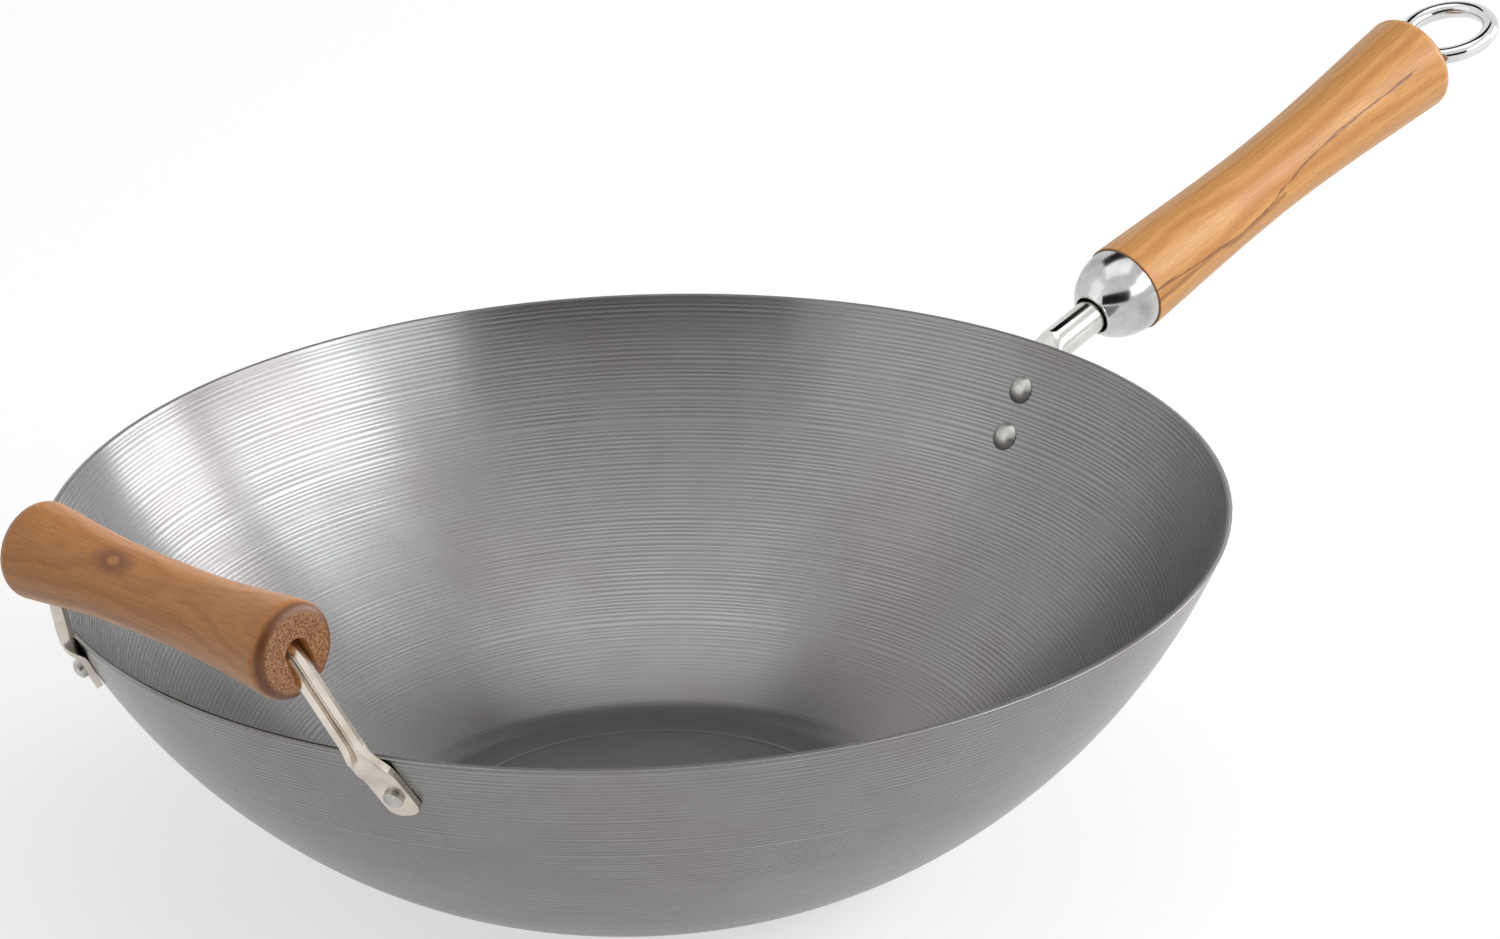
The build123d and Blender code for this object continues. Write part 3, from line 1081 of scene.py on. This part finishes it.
# Hardwood, turned, stained and varnished: honey-coloured flames under a thin gloss, with
# dark seams along the grain. The grain is turned and moved so that it follows the handle's
# tilt and starts at the middle of the wood's front face.
LONG_WOOD = VarnishedWood(
    "acacia_stained_varnished_long",
    turn_deg=(0.0, 14.7, 0.0),
    move_mm=(-238.64, 0.0, -47.74),
    grain_axis=(0.96727, 0.0, 0.25376),
    seams=(
        Seam(
            stations=(0.0, 16.0, 27.0, 49.0, 65.0, 96.0, 114.0, 136.0),
            heights=(3.2, 1.9, 0.6, -0.9, 2.3, 6.0, 6.8, 7.4),
            width_mm=0.42,
            strength=0.8,
        ),
        Seam(
            stations=(0.0, 30.0, 40.0, 54.0, 67.0),
            heights=(-0.5, -0.3, -1.9, -1.0, 0.2),
            width_mm=1.2,
            strength=0.5,
        ),
        Seam(
            stations=(0.0, 40.0, 90.0, 140.0),
            heights=(4.0, -2.0, 3.0, 1.0),
            width_mm=0.5,
            strength=0.6,
            side=1.0,
        ),
    ),
)

# The same wood with a deeper stain: browner, darkest at the rim of each end, with open
# pores on the cut faces and one small knot. Its grain runs along the grip's own axis.
HELPER_WOOD = VarnishedWood(
    "acacia_stained_varnished_helper",
    pale="#d18d48",
    mid="#bf7c3b",
    deep="#8c5423",
    end="#6a3509",
    cut="#c08d5f",
    burnish=0.9,
    pores=0.5,
    turn_deg=(0.0, 0.0, -90.0),
    move_mm=(0.0, -182.85, -136.65),
    grain_axis=(0.0, 1.0, 0.0),
    pith_mm=(24.0, 40.0),
    streaks=0.1,
    knot=Knot(place_mm=(13.3, 6.0, 10.1), radius_mm=1.9),
)


@dataclass(frozen=True)
class WallArc:
    """One arc of a turned wall: its centre, its radius and the slopes at its ends."""

    centre_x: float
    centre_z: float
    radius: float
    start: float
    end: float

    def point(self, slope: float, inwards: float) -> Point:
        """Returns radius and height where the wall has this slope, moved into the sheet."""
        reach = self.radius - inwards
        return self.centre_x + reach * math.sin(slope), self.centre_z - reach * math.cos(slope)


@dataclass
class SpunBowl:
    """The bowl, turned from its wall arcs with the roller's rings cut into both sides.

    Lengths are millimetres, angles degrees. A drift is how far the rings stray, counted in
    rings, and the run of wall for one radian of that sway. The press length is such a run
    too. An edge point is how far it lies into the sheet from that side's last row, and how
    far below the rim.
    """

    rim_radius: float = 177.8
    rim_height: float = 101.6
    base_radius: float = 76.2
    sheet: float = 1.5
    base_bend: float = 25.0
    start_lag: float = 23.2
    joint_lag: float = 7.0
    end_lead: float = 21.4
    ring_start_radius: float = 92.0
    ring_fade_in: float = 14.0
    ring_fade_out: float = 3.0
    ring_pitch: float = 1.5
    ring_depth: float = 0.04
    ring_drifts: tuple[tuple[float, float], ...] = ((0.35, 11.0), (0.2, 4.3))
    press_swing: float = 0.25
    press_length: float = 7.7
    scribe_radius: float = 61.0
    scribe_width: float = 1.0
    scribe_depth: float = 0.12
    outer_edge: tuple[Point, ...] = ((0.05, 0.42), (0.04, 0.21), (0.175, 0.042), (0.42, 0.0))
    inner_edge: tuple[Point, ...] = ((0.35, 0.0), (0.07, 0.07), (-0.07, 0.35))
    floor_rows: int = 24
    scribe_rows: int = 8
    least_rows: int = 8
    rows_a_ring_inside: int = 4
    rows_a_ring_outside: int = 3
    columns: int = 120

    def arcs(self) -> list[WallArc]:
        """Works out the outer side's arcs, from the base bend up to the rim.

        Returns:
            The base bend, the lower wall and the upper wall.
        """
        chord = math.hypot(self.rim_radius - self.base_radius, self.rim_height)
        lean = math.atan2(self.rim_height, self.rim_radius - self.base_radius)
        lag, mid, lead = (math.radians(a) for a in (-self.start_lag, -self.joint_lag, self.end_lead))
        share = (math.cos(mid) - math.cos(lead)) / (math.cos(mid) - math.cos(lag))
        upper = chord / ((math.sin(mid) - math.sin(lag)) * share + math.sin(lead) - math.sin(mid))
        lower = upper * share
        start, joint, end = lean + lag, lean + mid, lean + lead
        low_x, low_z = self.base_radius - lower * math.sin(start), lower * math.cos(start)
        high_x = self.rim_radius - upper * math.sin(end)
        high_z = self.rim_height + upper * math.cos(end)
        inner = lower - self.base_bend
        bend_x = low_x + math.sqrt(inner**2 - (low_z - self.base_bend) ** 2)
        bend_end = math.acos((low_z - self.base_bend) / inner)
        return [
            WallArc(bend_x, self.base_bend, self.base_bend, 0.0, bend_end),
            WallArc(low_x, low_z, lower, bend_end, joint),
            WallArc(high_x, high_z, upper, joint, end),
        ]

    def ring_cut(self, radius: float, run: float, reach: float) -> float:
        """Says how deep the roller's rings are at one place.

        Args:
            radius: Distance from the bowl's axis.
            run: Length along the wall.
            reach: Length of the whole wall.

        Returns:
            Depth into the sheet, never less than zero.
        """
        fade_in = smooth((radius - self.ring_start_radius) / self.ring_fade_in)
        fade_out = smooth((reach - run) / self.ring_fade_out)
        drift = sum(stray * math.sin(run / length) for stray, length in self.ring_drifts)
        wave = 0.5 - 0.5 * math.cos(2 * math.pi * (run / self.ring_pitch + drift))
        press = 1 - self.press_swing + self.press_swing * math.sin(run / self.press_length)
        return self.ring_depth * press * fade_in * fade_out * wave

    def side(self, inwards: float, facing: int) -> list[Point]:
        """Draws one side of the wall from the axis to the rim.

        Args:
            inwards: How far this side lies inside the outer one.
            facing: 1 where depth goes into the sheet from outside, -1 from inside.

        Returns:
            Radius and height of each row.
        """
        arcs = self.arcs()
        steps = range(self.floor_rows + 1)
        rows = [(arcs[0].centre_x * step / self.floor_rows, inwards) for step in steps]
        if facing < 0:
            rows = self.with_scribe(rows, inwards)
        rows_a_ring = self.rows_a_ring_inside if facing < 0 else self.rows_a_ring_outside
        reach = sum((arc.radius - inwards) * (arc.end - arc.start) for arc in arcs)
        run = 0.0
        for arc in arcs:
            length = (arc.radius - inwards) * (arc.end - arc.start)
            count = max(self.least_rows, round(length / self.ring_pitch * rows_a_ring))
            for step in range(1, count + 1):
                slope = arc.start + (arc.end - arc.start) * step / count
                radius, _ = arc.point(slope, inwards)
                cut = self.ring_cut(radius, run + length * step / count, reach)
                rows.append(arc.point(slope, inwards + facing * cut))
            run += length
        return rows

    def scribe(self, radius: float) -> float:
        """Returns the depth of the scribed ring on the floor at this radius."""
        return self.scribe_depth * smooth(1 - abs(radius - self.scribe_radius) / self.scribe_width)

    def with_scribe(self, rows: list[Point], level: float) -> list[Point]:
        """Adds the rows that draw the scribed ring.

        Args:
            rows: The floor's rows.
            level: Height of the floor.

        Returns:
            The floor's rows in order, with the ring among them.
        """
        low, high = self.scribe_radius - self.scribe_width, self.scribe_radius + self.scribe_width
        kept = [row for row in rows if not low <= row[0] <= high]
        steps = range(self.scribe_rows + 1)
        ring = [low + (high - low) * step / self.scribe_rows for step in steps]
        return sorted(kept + [(radius, level - self.scribe(radius)) for radius in ring])

    def rim_edge(self, outer: Point, inner: Point) -> list[Point]:
        """Rounds the cut edge of the sheet between its two sides.

        Args:
            outer: Last row of the outer side.
            inner: Last row of the inner side.

        Returns:
            Rows across the edge, level with the rim's height at most.
        """
        rows = [(outer[0] - across, self.rim_height - down) for across, down in self.outer_edge]
        return rows + [(inner[0] + across, self.rim_height - down) for across, down in self.inner_edge]

    def turned(self, profile: list[Point]) -> bmesh.types.BMesh:
        """Turns a closed profile round the bowl's axis.

        Args:
            profile: Radius and height of each row, from the axis round to the axis again.

        Returns:
            The closed mesh.
        """
        mesh = bmesh.new()
        angles = [2 * math.pi * column / self.columns for column in range(self.columns)]
        rows = []
        for radius, height in profile:
            if radius < NEAR_ZERO:
                rows.append([mesh.verts.new((0, 0, height * MM))])
                continue
            places = [(radius * MM * math.cos(a), radius * MM * math.sin(a), height * MM) for a in angles]
            rows.append([mesh.verts.new(place) for place in places])
        for low, high in zip(rows, rows[1:]):
            for column in range(self.columns):
                after = (column + 1) % self.columns
                ends = ((low, column), (low, after), (high, after), (high, column))
                corners = [row[place % len(row)] for row, place in ends]
                mesh.faces.new(list(dict.fromkeys(corners)))
        bmesh.ops.recalc_face_normals(mesh, faces=mesh.faces)
        return mesh

    def build(self) -> list[bpy.types.Object]:
        """Turns the two sides and the rim into the bowl, and dresses it.

        Returns:
            The bowl, set on its body.
        """
        outside = self.side(0.0, 1)
        inside = self.side(self.sheet, -1)
        rim = self.rim_edge(outside[-1], inside[-1])
        bowl = finish_mesh("spun_bowl", self.turned(outside[:-1] + rim + inside[-2::-1]))
        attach(bowl, "wok")
        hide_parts("wok_bowl")
        return [SPUN_STEEL.dress(bowl)]


@dataclass(frozen=True)
class Section:
    """One section of the bracket: its place, the slope of its line and how it is pressed."""

    x: float
    z: float
    slope: float
    flatness: float = 1.0
    width_share: float = 1.0


@dataclass
class LongHandle:
    """The long handle: plated bracket and bell, turned grip, and the rod with its ring.

    Lengths are millimetres, the tilt is in degrees. Stations run along the handle from the
    middle of the wood's front face: positive inside the grip, negative towards the bowl.
    """

    finishes: dict[str, Finish] = field(
        default_factory=lambda: {
            "long_handle_rivets": SET_RIVET,
            "tube_nut": TURNED_BRASS,
            "ferrule": PLATED_BELL,
            "long_grip": LONG_WOOD,
            "tie_rod": PLATED_WIRE,
            "hanging_ring": PLATED_WIRE,
        }
    )

    tilt_deg: float = 14.7
    wood_face: Point = (218.715, 106.734)
    tube_radius: float = 5.5
    round_stations: tuple[float, ...] = (11.3, 5.8, 0.0, -10.0, -20.0)
    round_until: float = 34.0
    flat_drop: float = 2.8
    plate_width: float = 16.0
    plate_thickness: float = 3.0
    plate_corner: float = 6.0
    plate_top: float = 10.4
    plate_bottom: float = 37.0
    seat_gap: float = 0.06
    round_share: float = 0.49
    points: int = 64
    neck_steps: int = 16
    bend_steps: int = 12
    plate_steps: int = 12
    corner_steps: int = 8

    @property
    def tilt(self) -> float:
        """Returns the handle's slope in radians."""
        return math.radians(self.tilt_deg)

    @property
    def stand_off(self) -> float:
        """Returns how far the plate's middle lies outside the wall."""
        return self.seat_gap + self.plate_thickness / 2

    def outline(self, flatness: float) -> list[Point]:
        """Draws the tube's outline, from round to pressed flat.

        Args:
            flatness: 0 where the tube is round, 1 where it is a plate.

        Returns:
            Points round it: across the handle, and up.
        """
        width = self.tube_radius + flatness * (self.plate_width / 2 - self.tube_radius)
        height = self.tube_radius + flatness * (self.plate_thickness / 2 - self.tube_radius)
        corner = height * 2 * self.round_share
        ring = []
        for point in range(self.points):
            angle = 2 * math.pi * (point + 0.5) / self.points
            side, top = math.copysign(1, math.cos(angle)), math.copysign(1, math.sin(angle))
            across = side * (width - corner) + corner * math.cos(angle)
            ring.append((across, top * (height - corner) + corner * math.sin(angle)))
        return ring

    def neck(self, stop: float) -> list[Section]:
        """Follows the tube from inside the grip to the bend, where it is flat.

        Args:
            stop: Station where the bend begins.

        Returns:
            The sections on the handle's line.
        """
        path = [(station, 0.0) for station in self.round_stations]
        for step in range(self.neck_steps + 1):
            share = step / self.neck_steps
            path.append((-self.round_until + (stop + self.round_until) * share, smooth(share)))
        sections = []
        for station, flatness in path:
            drop = self.flat_drop * flatness
            x = self.wood_face[0] + math.cos(self.tilt) * station + math.sin(self.tilt) * drop
            z = self.wood_face[1] + math.sin(self.tilt) * station - math.cos(self.tilt) * drop
            sections.append(Section(x, z, self.tilt, flatness))
        return sections

    def plate(self, wall: WallArc, top: float, bottom: float) -> list[Section]:
        """Follows the plate down the wall, and rounds its lower end.

        Args:
            wall: The wall's upper arc, which the plate lies on.
            top: The wall's slope where the plate begins.
            bottom: The wall's slope at the plate's tip.

        Returns:
            The sections down the wall.
        """
        tip = self.plate_corner / (wall.radius + self.stand_off)
        half = self.plate_width / 2
        sections = []
        for step in range(1, self.plate_steps + 1):
            slope = top + (bottom + tip - top) * step / self.plate_steps
            sections.append(Section(*wall.point(slope, -self.stand_off), slope))
        for step in range(1, self.corner_steps + 1):
            angle = math.pi / 2 * step / self.corner_steps
            slope = bottom + tip * (1 - math.sin(angle))
            width = (half - self.plate_corner + self.plate_corner * math.cos(angle)) / half
            sections.append(Section(*wall.point(slope, -self.stand_off), slope, width_share=width))
        return sections

    def sections(self) -> list[Section]:
        """Follows the bracket from inside the grip, round its bend and down the wall.

        The bend is the arc that touches both the flattened neck's line and the wall where the
        plate begins, at the same length from where the two lines would cross.

        Returns:
            The sections in order.
        """
        wall = SpunBowl().arcs()[-1]
        below_centre = wall.centre_z - SpunBowl.rim_height
        top = math.acos((below_centre + self.plate_top) / wall.radius)
        bottom = math.acos((below_centre + self.plate_bottom) / wall.radius)
        head_x, head_z = wall.point(top, -self.stand_off)
        face_x, face_z = self.wood_face
        line_x = face_x + math.sin(self.tilt) * self.flat_drop
        line_z = face_z - math.cos(self.tilt) * self.flat_drop
        rise = (line_z - head_z) * math.cos(self.tilt) - (line_x - head_x) * math.sin(self.tilt)
        turn = top - self.tilt
        to_crossing = rise / math.sin(turn)
        bend = to_crossing / math.tan(turn / 2)
        centre_x, centre_z = head_x + math.sin(top) * bend, head_z - math.cos(top) * bend
        end_x = head_x + (math.cos(top) + math.cos(self.tilt)) * to_crossing
        end_z = head_z + (math.sin(top) + math.sin(self.tilt)) * to_crossing
        stop = (end_x - face_x) * math.cos(self.tilt) + (end_z - face_z) * math.sin(self.tilt)
        sections = self.neck(stop)
        for step in range(1, self.bend_steps + 1):
            slope = self.tilt + turn * step / self.bend_steps
            x, z = centre_x - math.sin(slope) * bend, centre_z + math.cos(slope) * bend
            sections.append(Section(x, z, slope))
        return sections + self.plate(wall, top, bottom)

    def build_bracket(self) -> bpy.types.Object:
        """Skins the sections into the bracket: tube, flattened neck, bend and riveted plate.

        Returns:
            The bracket, dressed and set on its body.
        """
        mesh = bmesh.new()
        rings = []
        for section in self.sections():
            ring = []
            for across, above in self.outline(section.flatness):
                x = section.x - math.sin(section.slope) * above
                z = section.z + math.cos(section.slope) * above
                ring.append(mesh.verts.new((x * MM, across * section.width_share * MM, z * MM)))
            rings.append(ring)
        for near, far in zip(rings, rings[1:]):
            for point in range(self.points):
                after = (point + 1) % self.points
                mesh.faces.new((near[point], near[after], far[after], far[point]))
        mesh.faces.new(rings[0])
        mesh.faces.new(rings[-1])
        bmesh.ops.recalc_face_normals(mesh, faces=mesh.faces)
        bracket = finish_mesh("formed_bracket", mesh)
        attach(bracket, "wok")
        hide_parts("long_handle_bracket")
        return PLATED_TUBE.dress(bracket)

    def build(self) -> list[bpy.types.Object]:
        """Dresses the handle's nodes and forms the bracket."""
        dressed = [finish.dress(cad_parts[node]) for node, finish in self.finishes.items()]
        return [*dressed, self.build_bracket()]


@dataclass
class HelperHandle:
    """The helper handle: waisted grip, folded bracket and its rivets."""

    finishes: dict[str, Finish] = field(
        default_factory=lambda: {
            "helper_bracket": ROLLED_STRIP,
            "helper_grip": HELPER_WOOD,
            "helper_rivets": SET_RIVET,
        }
    )

    def build(self) -> list[bpy.types.Object]:
        """Dresses the handle's nodes."""
        return [finish.dress(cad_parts[node]) for node, finish in self.finishes.items()]


@dataclass(frozen=True)
class Softbox:
    """One studio lamp: where it stands, and how big and bright it is. Lengths are metres."""

    name: str
    place: Place
    size: tuple[float, float]
    watts: float
    aim: Place = AIM
    colour: str = WHITE

    def build(self) -> None:
        """Sets the lamp up in the scene."""
        lamp = bpy.data.lights.new(self.name, "AREA")
        lamp.shape = "RECTANGLE"
        lamp.size, lamp.size_y = self.size
        lamp.energy = self.watts
        lamp.color = linear(self.colour)[:3]
        stand = bpy.data.objects.new(self.name, lamp)
        turn_to(stand, self.place, self.aim)
        bpy.context.scene.collection.objects.link(stand)


@dataclass(frozen=True)
class DarkCard:
    """A dark card out of the picture, which only reflections show, as a studio's dark side.

    Lengths are metres.
    """

    name: str
    place: Place
    size: tuple[float, float]
    colour: str = DyedFelt.colour
    aim: Place = AIM

    def build(self) -> bpy.types.Object:
        """Hangs the card in the scene, turned to the object.

        Returns:
            The card.
        """
        mesh = bmesh.new()
        bmesh.ops.create_grid(mesh, x_segments=2, y_segments=2, size=0.5)
        bmesh.ops.scale(mesh, vec=(self.size[0], self.size[1], 1.0), verts=mesh.verts)
        card = finish_mesh(self.name, mesh)
        turn_to(card, self.place, self.aim)
        card.visible_camera = False
        card.visible_shadow = False
        DyedFelt(f"dyed_felt_{self.name}", self.colour).dress(card)
        return card


@dataclass
class Studio:
    """A pale floor in a plain white room, soft lamps, dark cards and the camera.

    Lengths are metres, apart from the lens and its sensor. The floor lies a little below the
    wok's base, so that the two faces don't flicker through each other.
    """

    floor_half: float = 6.0
    floor_gap: float = 0.0002
    floor_paper: BackdropPaper = BackdropPaper("backdrop_paper")
    ambient: float = 0.45
    camera_place: Place = (-1.32137, -1.39368, 0.93226)
    camera_turn_deg: Place = (66.9199, 1.9880, -45.3592)
    lens_mm: float = 168.46
    sensor_mm: float = 36.0
    clip: tuple[float, float] = (0.1, 50.0)
    lamps: tuple[Softbox, ...] = (
        Softbox("key_right", (1.16, -1.49, 1.13), (1.4, 0.9), 17.0),
        Softbox("key_low", (1.99, -0.69, 0.64), (0.8, 0.8), 12.0),
        Softbox("key_edge", (0.32, -1.95, 0.95), (1.0, 0.8), 5.0),
        Softbox("fill_left", (-1.9, 0.9, 1.5), (1.8, 1.8), 3.0),
        Softbox("top", (0.2, 0.2, 2.4), (2.0, 2.0), 8.0),
    )
    cards: tuple[DarkCard, ...] = (
        DarkCard("card_back", (0.87, 0.87, 1.82), (1.7, 1.0)),
        DarkCard("card_camera", (-1.9, -1.95, 1.0), (3.8, 1.5), "#1c1c1c"),
    )

    def build(self) -> list[bpy.types.Object]:
        """Builds the floor, the world, the lamps, the cards and the camera.

        Returns:
            The floor and the cards.
        """
        floor = self.build_floor()
        self.build_world()
        for lamp in self.lamps:
            lamp.build()
        cards = [card.build() for card in self.cards]
        self.build_camera()
        return [floor, *cards]

    def build_floor(self) -> bpy.types.Object:
        """Lays the floor, which carries the object's shadow.

        Returns:
            The floor.
        """
        mesh = bmesh.new()
        bmesh.ops.create_grid(mesh, x_segments=4, y_segments=4, size=self.floor_half)
        bmesh.ops.translate(mesh, vec=(0.0, 0.0, -self.floor_gap), verts=mesh.verts)
        floor = finish_mesh("floor", mesh)
        self.floor_paper.dress(floor)
        return floor

    def build_world(self) -> None:
        """Fills the room with even light, and shows it white behind the object."""
        world = bpy.data.worlds.new("white_room")
        bpy.context.scene.world = world
        world.use_nodes = True
        tree = world.node_tree
        tree.nodes.clear()
        level = add_node(
            tree,
            "ShaderNodeMapRange",
            inputs={"Value": seen_ray(tree), "To Min": self.ambient, "To Max": 1.0},
        ).outputs[0]
        back = add_node(tree, "ShaderNodeBackground", inputs={"Color": linear(WHITE), "Strength": level})
        add_node(tree, "ShaderNodeOutputWorld", inputs={"Surface": back.outputs[0]})

    def build_camera(self) -> None:
        """Sets the camera at the photograph's place."""
        lens = bpy.data.cameras.new("camera")
        lens.lens = self.lens_mm
        lens.sensor_width = self.sensor_mm
        lens.clip_start, lens.clip_end = self.clip
        camera = bpy.data.objects.new("camera", lens)
        camera.location = self.camera_place
        camera.rotation_euler = tuple(math.radians(a) for a in self.camera_turn_deg)
        bpy.context.scene.collection.objects.link(camera)
        bpy.context.scene.camera = camera
        bpy.context.scene.view_settings.view_transform = "Standard"


def main() -> None:
    """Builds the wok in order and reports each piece."""
    logging.basicConfig(level=logging.INFO, format="%(name)s: %(message)s")
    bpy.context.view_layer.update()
    for part in (SpunBowl(), LongHandle(), HelperHandle(), Studio()):
        for piece in part.build():
            LOG.info("%s: %s", piece.name, piece.data.materials[0].name)


if __name__ == "__main__":
    main()
